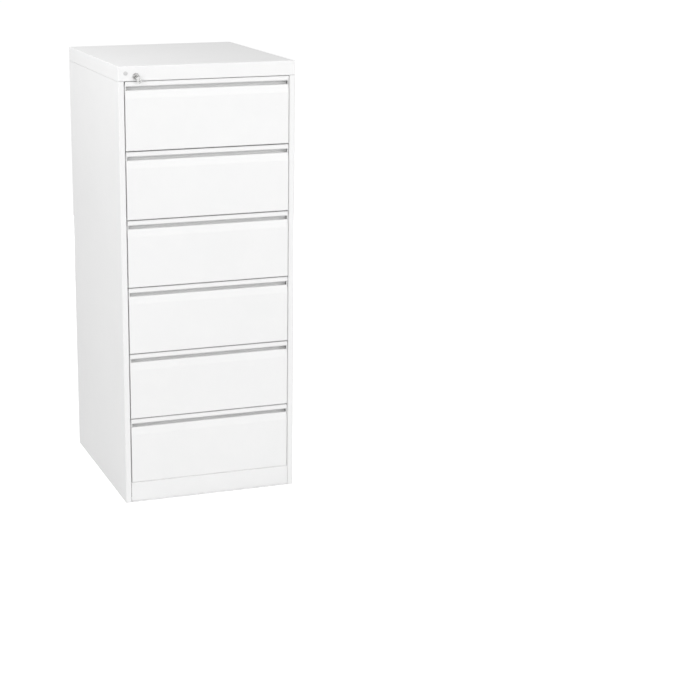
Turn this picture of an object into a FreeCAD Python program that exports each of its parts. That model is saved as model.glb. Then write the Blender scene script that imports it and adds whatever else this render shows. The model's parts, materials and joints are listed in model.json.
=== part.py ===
import FreeCAD, Part
import math
import os

from FreeCAD import Vector

# Steel card index cabinet with six two-row drawers, in millimetres.
# The origin is the centre of the footprint on the floor, X to the right, Y to the back, Z up.

# Overall size
WIDTH = 538.0
DEPTH = 620.0
HEIGHT = 1321.0
DRAWERS = 6

# Sheet and folding
SHELL_T = 1.0
FRONT_T = 0.9
TRAY_T = 0.8
SLIDE_T = 1.4
BEND_R = 1.0
WIDE_BEND_R = 3.0
SEAT_GAP = 0.3
CUT_PAST = 1.0

# Carcass
POST_W = 17.5
POST_DEEP = 22.0
POST_LIP = 10.0
REAR_FLANGE = 20.0
BASE_FLANGE = 20.0
CAP_SKIRT = 43.0
CAP_SEAM = 0.6
CAP_LIP = 14.0
CAP_CORNER_R = 2.5
JOGGLE = 1.2
TONGUE_FLANGE = 14.0
KICK_H = 58.5
KICK_LIFT = 4.5
KICK_TOP_RETURN = 25.0
KICK_TOP_LIP = 10.0
KICK_BOTTOM_RETURN = 12.0
BASE_PAN_Z = 50.0
BASE_PAN_FLANGE = 40.0
RIB_W = 40.0
RIB_DEEP = 4.0
RIB_INSET = 139.0

# Uprights that carry the slides
UPRIGHT_W = 30.0
UPRIGHT_FOOT = 8.0
UPRIGHT_INSET = 46.0
UPRIGHT_REAR_INSET = 42.0
UPRIGHT_TOP_GAP = 6.0
CATCH_SLOT_W = 12.0
CATCH_SLOT_H = 27.0

# Drawer fronts
FRONT_GAP = 3.0
TOP_GAP = 1.5
BOTTOM_GAP = 1.5
SIDE_GAP = 2.5
FRONT_PROUD = 1.0
FRONT_DEEP = 21.0
STRIP_H = 13.5
STRIP_SET_BACK = 0.6
STRIP_HEM_DEEP = 3.0
STRIP_HEM_H = 6.0
FINGER_SLOT_H = 10.5
LIP_LEAN = 2.6
LIP_LEAN_H = 24.0
LIP_DEEP = 8.4
LIP_R = 3.0
CHANNEL_DROP = 13.0

# Drawer trays
TRAY_FLOOR_H = 22.0
TRAY_TOP_DROP = 10.0
TRAY_BACK_GAP = 25.0
TRAY_HEM_W = 4.5
TRAY_HEM_H = 5.0
TRAY_FRONT_GAP = 0.1
FLOOR_RIB_W = 12.0
FLOOR_RIB_H = 4.0
FLOOR_RIB_SLOPE = 3.0
DIVIDER_H = 110.0
DIVIDER_W = 5.0
DIVIDER_FOOT = 11.5
DIVIDER_END_GAP = 0.2
LUG_H = 12.0
LUG_T = 1.5
LUG_REACH = 10.2

# Follower plates
FOLLOWER_MARGIN = 5.5
FOLLOWER_T = 1.2
FOLLOWER_H = 118.0
FOLLOWER_CORNER = 12.0
FOLLOWER_LEAN = 12.0
FOLLOWER_FOOT_L = 62.0
FOLLOWER_FOOT_W = 60.0
FOLLOWER_BACK_GAP = 15.0
FOLLOWER_NOTCH_R = 13.0
GUSSET_H = 45.0
GUSSET_L = 40.0

# Three-member slides
SLIDE_THICK = 12.7
SLIDE_HALF_H = 26.0
SLIDE_GAP = 0.35
SLIDE_LENGTH = 555.0
SLIDE_CENTRE_H = 78.0
SLIDE_FRONT_GAP = 8.5
SLIDE_POST_GAP = 1.0
OUTER_FLANGE = 9.5
OUTER_LIP = 2.8
MID_FLANGE = 7.7
MID_LIP = 3.2

# Lock at the top left and its bar
LOCK_INSET = 52.5
LOCK_DROP = 29.5
LOCK_FACE_R = 9.8
LOCK_FACE_T = 2.5
LOCK_BARREL_R = 8.0
LOCK_HOLE_GAP = 0.1
LOCK_NUT_R = 11.0
LOCK_NUT_T = 4.0
LOCK_LENGTH = 30.0
PLUG_R = 6.0
PLUG_GAP = 0.05
CRANK_R = 8.5
CRANK_ANGLE = 135.0
CRANK_ARM_W = 7.0
CRANK_ARM_END = 3.0
CRANK_ARM_T = 2.0
CRANK_PIN_R = 2.0
CRANK_PIN_L = 7.5
CRANK_SLOT_GAP = 0.6
KEY_T = 2.4
KEY_W = 6.0
KEY_OUT = 7.5
KEY_ROOT = 1.0
KEY_HANG_ANGLE = -57.0
KEY_PIN_R = 1.0
KEY_PIN_GAP = 0.05
KEY_PIN_L = 11.0
KEY_EAR_GAP = 0.3
KEY_EAR_W = 2.0
BOW_L = 22.0
BOW_R = 7.5
BOW_HOLE_R = 2.6
BOW_T = 2.6
BLANK_INSET = 22.0
BLANK_DROP = 20.0
BLANK_R = 6.0
BLANK_STEM_R = 4.6
BLANK_HOLE_R = 4.7
BLANK_RISE = 0.8
BLANK_STEM_L = 6.0

# Lock bar, interlock bar and their catches
BAR_W = 14.0
BAR_T = 2.5
BAR_FOOT_GAP = 24.0
CATCH_H = 10.0
CATCH_T = 6.0
CATCH_REACH = 10.5
CATCH_ABOVE_SLIDE = 2.0
CATCH_CLEAR = 0.8
HEAD_PLATE_T = 2.0
HEAD_PLATE_H = 12.0

# Feet and screws
FOOT_R = 16.0
FOOT_H = 6.0
FOOT_SIDE_INSET = 37.0
FOOT_END_INSET = 60.0
FOOT_NUT_R = 7.5
FOOT_NUT_H = 6.5
STUD_R = 4.0
SCREW_R = 4.0
SCREW_H = 1.6
SCREWS_PER_SIDE = 4

# Places worked out from the sizes above
HALF_W = WIDTH / 2
HALF_D = DEPTH / 2
SEAM_Z = HEIGHT - CAP_SKIRT
FIRST_FRONT_Z = KICK_LIFT + KICK_H + BOTTOM_GAP
PITCH = (SEAM_Z - TOP_GAP + FRONT_GAP - FIRST_FRONT_Z) / DRAWERS
FRONT_H = PITCH - FRONT_GAP
FRONT_HALF_W = HALF_W - POST_W - SIDE_GAP
FRONT_Y = -HALF_D - FRONT_PROUD
LIP_H = FRONT_H - STRIP_H - FINGER_SLOT_H
SLIDE_BACK_X = HALF_W - POST_W + SLIDE_POST_GAP
TRAY_HALF_W = SLIDE_BACK_X - SLIDE_THICK
SLIDE_FRONT_Y = -HALF_D + POST_DEEP + SLIDE_FRONT_GAP
TRAY_FRONT_Y = FRONT_Y + FRONT_DEEP + TRAY_FRONT_GAP
TRAY_BACK_Y = HALF_D - TRAY_BACK_GAP
TRAY_TOP_H = FRONT_H - TRAY_TOP_DROP
TRAY_FLOOR_TOP = TRAY_FLOOR_H + TRAY_T
TRAY_INNER_HALF_W = TRAY_HALF_W - TRAY_HEM_W
ROW_INNER_X = DIVIDER_W / 2 + TRAY_T
ROW_CENTRE_X = (ROW_INNER_X + TRAY_INNER_HALF_W) / 2
FOLLOWER_REST_Y = TRAY_BACK_Y - FOLLOWER_BACK_GAP - FOLLOWER_FOOT_L
FRONT_UPRIGHT_Y = -HALF_D + UPRIGHT_INSET
REAR_UPRIGHT_Y = HALF_D - UPRIGHT_REAR_INSET
UPRIGHT_BASE_Z = BASE_PAN_Z + SHELL_T
UPRIGHT_TOP_Z = SEAM_Z - UPRIGHT_TOP_GAP
WEB_X = SLIDE_BACK_X + SHELL_T
BAR_X = WEB_X + SEAT_GAP
CATCH_BOTTOM_H = SLIDE_CENTRE_H + SLIDE_HALF_H + CATCH_ABOVE_SLIDE
LUG_BOTTOM_H = CATCH_BOTTOM_H + CATCH_H + CATCH_CLEAR
CATCH_Y = FRONT_UPRIGHT_Y
LUG_Y = CATCH_Y + CATCH_T / 2 + CATCH_CLEAR
LOCK_X = -HALF_W + LOCK_INSET
LOCK_Z = HEIGHT - LOCK_DROP
BLANK_X = -HALF_W + BLANK_INSET
BLANK_Z = HEIGHT - BLANK_DROP
FOOT_X = HALF_W - FOOT_SIDE_INSET
FOOT_Y = HALF_D - FOOT_END_INSET
RIB_X = HALF_W - RIB_INSET
BACK_Y = HALF_D - SHELL_T


def xy(a, b):
    return Vector(a, b, 0)


def xz(a, b):
    return Vector(a, 0, b)


def yz(a, b):
    return Vector(0, a, b)


def unit(a, b):
    length = math.hypot(a, b)
    return (a / length, b / length)


def folded_section(points, thick, side, plane, radii=None):
    """Face of a folded sheet: points run along one face, side +1 puts the sheet on their left.

    A wide bend is an arc, and a tight one a single flat across the corner.
    """
    radii = radii or {}
    steps = zip(points, points[1:])
    ways = [unit(q[0] - p[0], q[1] - p[1]) for p, q in steps]

    def pushed(p, way):
        return (p[0] - way[1] * thick * side, p[1] + way[0] * thick * side)

    face = [("start", points[0])]
    back = [("start", pushed(points[0], ways[0]))]
    for index in range(1, len(points) - 1):
        corner = points[index]
        before = ways[index - 1]
        after = ways[index]
        cross = before[0] * after[1] - before[1] * after[0]
        turn = math.atan2(cross, before[0] * after[0] + before[1] * after[1])
        towards_sheet = turn * side > 0
        near = radii.get(index, BEND_R)
        radius = near + thick if towards_sheet else near
        reach = radius * math.tan(abs(turn) / 2)
        first = (corner[0] - before[0] * reach, corner[1] - before[1] * reach)
        last = (corner[0] + after[0] * reach, corner[1] + after[1] * reach)
        sign = 1 if turn > 0 else -1
        centre = (first[0] - before[1] * radius * sign, first[1] + before[0] * radius * sign)
        outwards = unit(corner[0] - centre[0], corner[1] - centre[1])
        back_radius = radius - thick if towards_sheet else radius + thick
        kind = "arc" if near >= WIDE_BEND_R else "flat"
        face.append((kind, first, along(centre, outwards, radius), last))
        back.append((kind, pushed(first, before), along(centre, outwards, back_radius), pushed(last, after)))
    face.append(("end", points[-1]))
    back.append(("end", pushed(points[-1], ways[-1])))
    edges = run_edges(face, plane) + run_edges(back, plane)
    edges.append(Part.makeLine(plane(*face[0][1]), plane(*back[0][1])))
    edges.append(Part.makeLine(plane(*face[-1][1]), plane(*back[-1][1])))
    return Part.Face(Part.Wire(Part.__sortEdges__(edges)))


def along(point, way, distance):
    return (point[0] + way[0] * distance, point[1] + way[1] * distance)


def run_edges(run, plane):
    """Lines and arcs of one face of a folded section."""
    edges = []
    last = run[0][1]
    for item in run[1:]:
        if math.dist(last, item[1]) > 1e-6:
            edges.append(Part.makeLine(plane(*last), plane(*item[1])))
        last = item[1]
        if item[0] == "arc":
            edges.append(Part.Arc(plane(*item[1]), plane(*item[2]), plane(*item[3])).toShape())
            last = item[3]
        if item[0] == "flat":
            edges.append(Part.makeLine(plane(*item[1]), plane(*item[3])))
            last = item[3]
    return edges


def outline(points, plane):
    corners = [plane(*p) for p in points]
    return Part.Face(Part.makePolygon(corners + corners[:1]))


def swept(face, axis, start, end):
    """Extrude a face that lies in a row plane from start to end along axis."""
    moved = face.copy()
    moved.translate(axis * start)
    return moved.extrude(axis * (end - start))


def block(low, high):
    size = [b - a for a, b in zip(low, high)]
    return Part.makeBox(size[0], size[1], size[2], Vector(*low))


def rod(radius, start, way, length):
    return Part.makeCylinder(radius, length, start, way)


def hexagon(corner_r, z, height):
    angles = [math.radians(60 * index) for index in range(6)]
    corners = [(corner_r * math.cos(angle), corner_r * math.sin(angle)) for angle in angles]
    return swept(outline(corners, xy), AXIS_Z, z, z + height)


def mirrored(shape):
    return shape.mirror(Vector(0, 0, 0), AXIS_X)


def placed(shape, x=0, y=0, z=0):
    copy = shape.copy()
    copy.translate(Vector(x, y, z))
    return copy


def joined(shapes):
    whole = shapes[0].fuse(shapes[1:])
    return whole.removeSplitter()


def save(node, shape):
    shape.exportStep("parts/" + node + ".step")


AXIS_X = Vector(1, 0, 0)
AXIS_Y = Vector(0, 1, 0)
AXIS_Z = Vector(0, 0, 1)


def front_bottom(number):
    """Height of the lower edge of a drawer's front, with drawer 1 at the top."""
    return FIRST_FRONT_Z + (DRAWERS - number) * PITCH


def side_panel():
    """Left side: rear flange, wall, front post with its return, base flange and top tongue."""
    x = -HALF_W
    post_x = x + POST_W
    path = [(x + REAR_FLANGE, HALF_D), (x, HALF_D), (x, -HALF_D), (post_x, -HALF_D)]
    path += [(post_x, -HALF_D + POST_DEEP), (post_x - POST_LIP, -HALF_D + POST_DEEP)]
    wall = swept(folded_section(path, SHELL_T, 1, xy), AXIS_Z, 0, SEAM_Z - CAP_SEAM)
    tongue_x = x + JOGGLE
    tongue_z = SEAM_Z - CAP_SEAM
    joggle = [(x, tongue_z - 2 * JOGGLE), (x, tongue_z - JOGGLE), (tongue_x, tongue_z)]
    joggle += [(tongue_x, HEIGHT - SHELL_T), (tongue_x + TONGUE_FLANGE, HEIGHT - SHELL_T)]
    reach = HALF_D - POST_DEEP
    tongue = swept(folded_section(joggle, SHELL_T, -1, xz), AXIS_Y, -reach, reach)
    foot = block((x + SHELL_T / 2, -reach, 0), (x + BASE_FLANGE, reach, SHELL_T))
    return joined([wall, tongue, foot])


def back_panel():
    """Back sheet with two pressed ribs, lying on the side panels' rear flanges."""
    half = HALF_W - JOGGLE - SHELL_T - SEAT_GAP
    path = [(-half, BACK_Y)]
    for centre in (-RIB_X, RIB_X):
        path.append((centre - RIB_W / 2, BACK_Y))
        path.append((centre - RIB_W / 2 + RIB_DEEP, BACK_Y - RIB_DEEP))
        path.append((centre + RIB_W / 2 - RIB_DEEP, BACK_Y - RIB_DEEP))
        path.append((centre + RIB_W / 2, BACK_Y))
    path.append((half, BACK_Y))
    top = HEIGHT - CAP_CORNER_R
    return swept(folded_section(path, SHELL_T, -1, xy), AXIS_Z, SHELL_T + SEAT_GAP, top)


def top_cap():
    """Lid with four skirts, a stiffening lip at the front, the lock hole and the blanking hole."""
    outer = block((-HALF_W, -HALF_D, SEAM_Z), (HALF_W, HALF_D, HEIGHT))
    rounded = [e for e in outer.Edges if e.CenterOfMass.z > SEAM_Z + SHELL_T]
    outer = outer.makeFillet(CAP_CORNER_R, rounded)
    t = SHELL_T
    inner = block((-HALF_W + t, -HALF_D + t, SEAM_Z - t), (HALF_W - t, HALF_D - t, HEIGHT - t))
    rounded = [e for e in inner.Edges if e.CenterOfMass.z > SEAM_Z]
    inner = inner.makeChamfer(CAP_CORNER_R - t, rounded)
    lip_path = [(-HALF_D, SEAM_Z + CAP_LIP), (-HALF_D, SEAM_Z), (-HALF_D + CAP_LIP, SEAM_Z)]
    lip_half = HALF_W - JOGGLE - SHELL_T - SEAT_GAP
    lip = swept(folded_section(lip_path, t, 1, yz), AXIS_X, -lip_half, lip_half)
    front = block((-lip_half, -HALF_D, SEAM_Z), (lip_half, -HALF_D + t, SEAM_Z + CAP_LIP))
    cap = outer.cut(inner).cut(front).fuse(lip).removeSplitter()
    lock = rod(LOCK_BARREL_R + LOCK_HOLE_GAP, Vector(LOCK_X, -HALF_D - t, LOCK_Z), AXIS_Y, 3 * t)
    blank = rod(BLANK_HOLE_R, Vector(BLANK_X, -HALF_D - t, BLANK_Z), AXIS_Y, 3 * t)
    return cap.cut(lock).cut(blank)


def kick_plate():
    """Plinth between the posts, folded back at its top and bottom."""
    top = KICK_LIFT + KICK_H
    path = [(-HALF_D + KICK_BOTTOM_RETURN, KICK_LIFT), (-HALF_D, KICK_LIFT), (-HALF_D, top)]
    path += [(-HALF_D + KICK_TOP_RETURN, top), (-HALF_D + KICK_TOP_RETURN, top - KICK_TOP_LIP)]
    half = HALF_W - POST_W - SEAT_GAP
    return swept(folded_section(path, SHELL_T, -1, yz), AXIS_X, -half, half)


def base_pan():
    """Floor of the carcass, a pan on side flanges."""
    half = HALF_W - SHELL_T
    top = BASE_PAN_Z + SHELL_T
    path = [(-half, top - BASE_PAN_FLANGE), (-half, top), (half, top), (half, top - BASE_PAN_FLANGE)]
    front = -HALF_D + KICK_TOP_RETURN + SEAT_GAP
    rear = BACK_Y - SHELL_T - RIB_DEEP - SEAT_GAP
    return swept(folded_section(path, SHELL_T, -1, xz), AXIS_Y, front, rear)


def levelling_foot():
    """Hexagonal pad and a stud that screws into the blind nut under the base pan."""
    stud = rod(STUD_R, Vector(0, 0, FOOT_H / 2), AXIS_Z, BASE_PAN_Z - FOOT_H)
    nut = hexagon(FOOT_NUT_R, BASE_PAN_Z - FOOT_NUT_H, FOOT_NUT_H)
    return joined([stud, hexagon(FOOT_R, 0, FOOT_H), nut])


def levelling_feet():
    foot = levelling_foot()
    return Part.makeCompound([placed(foot, x, y) for x in (-FOOT_X, FOOT_X) for y in (-FOOT_Y, FOOT_Y)])


def upright(y):
    """Hat-section upright on the right side: feet on the side panel, web on the slides."""
    wall = HALF_W - SHELL_T
    half = UPRIGHT_W / 2
    path = [(wall, y - half - UPRIGHT_FOOT), (wall, y - half), (WEB_X, y - half)]
    path += [(WEB_X, y + half), (wall, y + half), (wall, y + half + UPRIGHT_FOOT)]
    return swept(folded_section(path, SHELL_T, 1, xy), AXIS_Z, UPRIGHT_BASE_Z, UPRIGHT_TOP_Z)


def catch_slots():
    """Windows in the front upright's web, one for each catch with room for its lift."""
    y = FRONT_UPRIGHT_Y
    half = CATCH_SLOT_W / 2
    window = block((WEB_X - 2 * SHELL_T, y - half, 0), (WEB_X + SHELL_T, y + half, CATCH_SLOT_H))
    low = CATCH_BOTTOM_H - CATCH_CLEAR
    return [placed(window, z=front_bottom(number) + low) for number in range(1, DRAWERS + 1)]


def uprights():
    right = [upright(FRONT_UPRIGHT_Y).cut(catch_slots()), upright(REAR_UPRIGHT_Y)]
    return Part.makeCompound(right + [mirrored(shape) for shape in right])


def channel(points):
    """Slide member on the right side: points are (distance in from the slide's back, height)."""
    flipped = [(u, -v) for u, v in reversed(points)]
    return [(SLIDE_BACK_X - u, SLIDE_CENTRE_H + v) for u, v in points + flipped]


def outer_member():
    """Fixed member, a channel with lips that hold the intermediate member, and its front stop."""
    t = SLIDE_T
    top = SLIDE_HALF_H
    points = [(0, top), (OUTER_FLANGE, top), (OUTER_FLANGE, top - OUTER_LIP)]
    points += [(OUTER_FLANGE - t, top - OUTER_LIP), (OUTER_FLANGE - t, top - t), (t, top - t)]
    return slide_member(points)


def intermediate_member():
    """Middle member: its flanges run behind the outer lips, and its own lips hold the inner one."""
    t = SLIDE_T
    start = t + SLIDE_GAP
    top = SLIDE_HALF_H - t - SLIDE_GAP
    points = [(start, top), (MID_FLANGE, top), (MID_FLANGE, top - MID_LIP), (MID_FLANGE - t, top - MID_LIP)]
    points += [(MID_FLANGE - t, top - t), (start + t, top - t)]
    return slide_member(points)


def inner_member():
    """Drawer member: a channel open outwards, with lips behind those of the intermediate member."""
    t = SLIDE_T
    tip = 2 * (t + SLIDE_GAP)
    lip_top = SLIDE_HALF_H - 2 * (t + SLIDE_GAP)
    top = SLIDE_HALF_H - t - SLIDE_GAP - MID_LIP - SLIDE_GAP
    points = [(SLIDE_THICK, top), (tip + t, top), (tip + t, lip_top), (tip, lip_top)]
    points += [(tip, top - t), (SLIDE_THICK - t, top - t)]
    return slide_member(points)


def slide_member(points):
    return swept(outline(channel(points), xz), AXIS_Y, SLIDE_FRONT_Y, SLIDE_FRONT_Y + SLIDE_LENGTH)


def pair(shape):
    return [shape, mirrored(shape)]


def outer_slide_members():
    members = pair(outer_member())
    heights = [front_bottom(number) for number in range(1, DRAWERS + 1)]
    return Part.makeCompound([placed(member, z=z) for z in heights for member in members])


def drawer_front():
    """Folded front: face leaning back to the pull lip, finger channel, hemmed top strip, two ends."""
    t = FRONT_T
    back = FRONT_DEEP
    floor = LIP_H - CHANNEL_DROP
    path = [(back, 0), (0, 0), (0, LIP_H - LIP_LEAN_H), (LIP_LEAN, LIP_H), (LIP_DEEP, LIP_H)]
    path += [(LIP_DEEP, floor), (back - t, floor), (back - t, FRONT_H - t)]
    path.append((STRIP_SET_BACK + t, FRONT_H - t))
    hem_d = STRIP_SET_BACK + t + STRIP_HEM_DEEP
    strip_low = FRONT_H - STRIP_H + t
    path += [(STRIP_SET_BACK + t, strip_low), (hem_d, strip_low), (hem_d, strip_low + STRIP_HEM_H)]
    section = folded_section(path, t, -1, yz, {3: LIP_R})
    profile = swept(section, AXIS_X, -FRONT_HALF_W, FRONT_HALF_W)
    end = [(t / 2, t / 2), (t / 2, LIP_H - LIP_LEAN_H), (LIP_LEAN + t / 2, LIP_H - LIP_R)]
    end += [(LIP_LEAN + t, LIP_H - LIP_R / 2), (LIP_LEAN + LIP_R, LIP_H - t / 2)]
    end += [(LIP_DEEP - t / 2, LIP_H - t / 2), (LIP_DEEP - t / 2, floor - t / 2)]
    end += [(back, floor - t / 2), (back, t / 2)]
    plate = swept(outline(end, yz), AXIS_X, FRONT_HALF_W - t, FRONT_HALF_W)
    return placed(joined([profile] + pair(plate)), y=FRONT_Y)


def tray():
    """Drawer tray: hemmed sides and ribbed floor in one section, end walls and two welded catch lugs."""
    t = TRAY_T
    x = TRAY_HALF_W
    path = [(-x + TRAY_HEM_W, TRAY_TOP_H - TRAY_HEM_H), (-x + TRAY_HEM_W, TRAY_TOP_H), (-x, TRAY_TOP_H)]
    path.append((-x, TRAY_FLOOR_H))
    for centre in (-ROW_CENTRE_X, ROW_CENTRE_X):
        half = FLOOR_RIB_W / 2
        path.append((centre - half, TRAY_FLOOR_H))
        path.append((centre - half + FLOOR_RIB_SLOPE, TRAY_FLOOR_H + FLOOR_RIB_H))
        path.append((centre + half - FLOOR_RIB_SLOPE, TRAY_FLOOR_H + FLOOR_RIB_H))
        path.append((centre + half, TRAY_FLOOR_H))
    path += [(x, TRAY_FLOOR_H), (x, TRAY_TOP_H), (x - TRAY_HEM_W, TRAY_TOP_H)]
    path.append((x - TRAY_HEM_W, TRAY_TOP_H - TRAY_HEM_H))
    body = swept(folded_section(path, t, 1, xz), AXIS_Y, TRAY_FRONT_Y, TRAY_BACK_Y)
    inner = x - t / 2
    low = TRAY_FLOOR_H + t / 2
    walls = [block((-inner, y, low), (inner, y + t, TRAY_TOP_H)) for y in (TRAY_FRONT_Y, TRAY_BACK_Y - t)]
    lug = block((x, LUG_Y, LUG_BOTTOM_H), (x + LUG_REACH, LUG_Y + LUG_T, LUG_BOTTOM_H + LUG_H))
    return Part.makeCompound([joined([body] + walls)] + pair(lug))


def divider():
    """Double-skinned partition between the two rows, standing on two folded feet."""
    half = DIVIDER_W / 2
    low = TRAY_FLOOR_TOP
    path = [(-half - DIVIDER_FOOT, low), (-half, low), (-half, low + DIVIDER_H), (half, low + DIVIDER_H)]
    path += [(half, low), (half + DIVIDER_FOOT, low)]
    start = TRAY_FRONT_Y + TRAY_T + DIVIDER_END_GAP
    return swept(folded_section(path, TRAY_T, 1, xz), AXIS_Y, start, TRAY_BACK_Y - TRAY_T - DIVIDER_END_GAP)


def follower():
    """Right-hand card follower: leaning plate with a thumb notch, gussets and a foot on the rib."""
    centre = ROW_CENTRE_X
    half = (TRAY_INNER_HALF_W - ROW_INNER_X) / 2 - FOLLOWER_MARGIN
    low = TRAY_FLOOR_TOP + SEAT_GAP
    over = low + FLOOR_RIB_H
    saddle = FLOOR_RIB_W / 2 + TRAY_T + SEAT_GAP
    slope = FLOOR_RIB_SLOPE
    foot_half = FOLLOWER_FOOT_W / 2
    path = [(centre - foot_half, low), (centre - saddle, low), (centre - saddle + slope, over)]
    path += [(centre + saddle - slope, over), (centre + saddle, low), (centre + foot_half, low)]
    start = FOLLOWER_REST_Y
    foot = swept(folded_section(path, FOLLOWER_T, 1, xz), AXIS_Y, start, start + FOLLOWER_FOOT_L)
    bottom = over + FOLLOWER_T / 2
    plate = block((centre - half, 0, 0), (centre + half, FOLLOWER_T, FOLLOWER_H))
    short = [e for e in plate.Edges if e.Length < 2 * FOLLOWER_T]
    corners = [e for e in short if e.CenterOfMass.z > FOLLOWER_H / 2]
    plate = plate.makeChamfer(FOLLOWER_CORNER, corners)
    notch_centre = Vector(centre, -FOLLOWER_T, FOLLOWER_H + FOLLOWER_NOTCH_R / 3)
    notch = rod(FOLLOWER_NOTCH_R, notch_centre, AXIS_Y, 3 * FOLLOWER_T)
    plate = plate.cut(notch)
    plate.rotate(Vector(0, 0, 0), AXIS_X, -FOLLOWER_LEAN)
    plate = placed(plate, y=start, z=bottom)
    side_low = low + FOLLOWER_T / 2
    lean = GUSSET_H * math.tan(math.radians(FOLLOWER_LEAN))
    side = [(start + FOLLOWER_T, side_low), (start + GUSSET_L, side_low)]
    side.append((start + FOLLOWER_T / 2 + lean, bottom + GUSSET_H))
    gusset = swept(outline(side, yz), AXIS_X, centre + foot_half - FOLLOWER_T, centre + foot_half)
    other = swept(outline(side, yz), AXIS_X, centre - foot_half, centre - foot_half + FOLLOWER_T)
    return joined([foot, plate, gusset, other])


def lock_housing():
    """Flanged barrel of the lock with its nut behind the cap's skirt, bored for the plug."""
    start = Vector(LOCK_X, -HALF_D - LOCK_FACE_T, LOCK_Z)
    face = rod(LOCK_FACE_R, start, AXIS_Y, LOCK_FACE_T)
    barrel = rod(LOCK_BARREL_R, start, AXIS_Y, LOCK_LENGTH)
    nut = hexagon(LOCK_NUT_R, 0, LOCK_NUT_T)
    nut.rotate(Vector(0, 0, 0), AXIS_X, -90)
    nut = placed(nut, LOCK_X, -HALF_D + SHELL_T, LOCK_Z)
    bore_start = start - AXIS_Y * CUT_PAST
    bore = rod(PLUG_R + PLUG_GAP, bore_start, AXIS_Y, LOCK_LENGTH + 2 * CUT_PAST)
    return joined([face, barrel, nut]).cut(bore)


def hang_way():
    angle = math.radians(KEY_HANG_ANGLE)
    return Vector(math.cos(angle), 0, math.sin(angle))


def key_pivot():
    return Vector(LOCK_X, -HALF_D - LOCK_FACE_T - KEY_OUT, LOCK_Z)


def oriented(low, high, origin):
    """Block with its first side along the key's hinge pin, second along Y, third along the hang way."""
    across = hang_way().cross(AXIS_Y)
    down = hang_way()
    frame = FreeCAD.Matrix(across.x, 0, down.x, origin.x, 0, 1, 0, origin.y, across.z, 0, down.z, origin.z)
    return block(low, high).transformGeometry(frame)


def lock_plug():
    """Plug, key blade with its hinge pin, and the crank that lifts the lock bar."""
    start = Vector(LOCK_X, -HALF_D - LOCK_FACE_T, LOCK_Z)
    back_y = start.y + LOCK_LENGTH + SEAT_GAP
    plug = rod(PLUG_R, start, AXIS_Y, LOCK_LENGTH + SEAT_GAP)
    reach = CRANK_R + CRANK_ARM_END
    arm = block((-reach, 0, -CRANK_ARM_W / 2), (CRANK_ARM_END, CRANK_ARM_T, CRANK_ARM_W / 2))
    arm.rotate(Vector(0, 0, 0), AXIS_Y, CRANK_ANGLE - 180)
    arm = placed(arm, LOCK_X, back_y, LOCK_Z)
    pin_start = crank_pin_centre() + AXIS_Y * (back_y - crank_pin_centre().y)
    pin = rod(CRANK_PIN_R, pin_start, AXIS_Y, CRANK_ARM_T + CRANK_PIN_L)
    pivot = key_pivot()
    blade = oriented((-KEY_W / 2, 0, -KEY_T / 2), (KEY_W / 2, KEY_OUT + KEY_ROOT, KEY_T / 2), pivot)
    across = hang_way().cross(AXIS_Y)
    hinge = rod(KEY_PIN_R, pivot - across * (KEY_PIN_L / 2), across, KEY_PIN_L)
    knuckle = rod(KEY_T / 2, pivot - across * (KEY_W / 2), across, KEY_W)
    return joined([plug, arm, pin, blade, hinge, knuckle])


def crank_pin_centre():
    """The pin starts low on the left and swings over the left side to the same height above."""
    angle = math.radians(-CRANK_ANGLE)
    return Vector(LOCK_X + CRANK_R * math.cos(angle), 0, LOCK_Z + CRANK_R * math.sin(angle))


def key_bow():
    """Flat bow with two ears on the hinge pin, hanging down to the right."""
    pivot = key_pivot()
    ear_in = KEY_W / 2 + KEY_EAR_GAP
    ear_out = ear_in + KEY_EAR_W
    half_t = BOW_T / 2
    across = hang_way().cross(AXIS_Y)
    neck = KEY_T / 2 + 2 * KEY_EAR_GAP
    plate = oriented((-ear_out, -half_t, neck), (ear_out, half_t, BOW_L - BOW_R), pivot)
    head_centre = pivot + hang_way() * (BOW_L - BOW_R)
    head = rod(BOW_R, head_centre - AXIS_Y * half_t, AXIS_Y, BOW_T)
    ears = []
    for side in (-1, 1):
        low = min(side * ear_in, side * ear_out)
        ears.append(oriented((low, -half_t, -half_t), (low + KEY_EAR_W, half_t, neck), pivot))
    bow = joined([plate, head] + ears)
    hole = rod(BOW_HOLE_R, head_centre - AXIS_Y * BOW_T + hang_way() * (BOW_R / 4), AXIS_Y, 2 * BOW_T)
    bore = rod(KEY_PIN_R + KEY_PIN_GAP, pivot - across * KEY_PIN_L, across, 2 * KEY_PIN_L)
    return bow.cut(hole).cut(bore)


def blanking_plug():
    """Flat cover in the spare hole beside the lock, with a short stem."""
    start = Vector(BLANK_X, -HALF_D, BLANK_Z)
    cap = rod(BLANK_R, start - AXIS_Y * BLANK_RISE, AXIS_Y, BLANK_RISE)
    return joined([cap, rod(BLANK_STEM_R, start, AXIS_Y, BLANK_STEM_L)])


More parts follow.
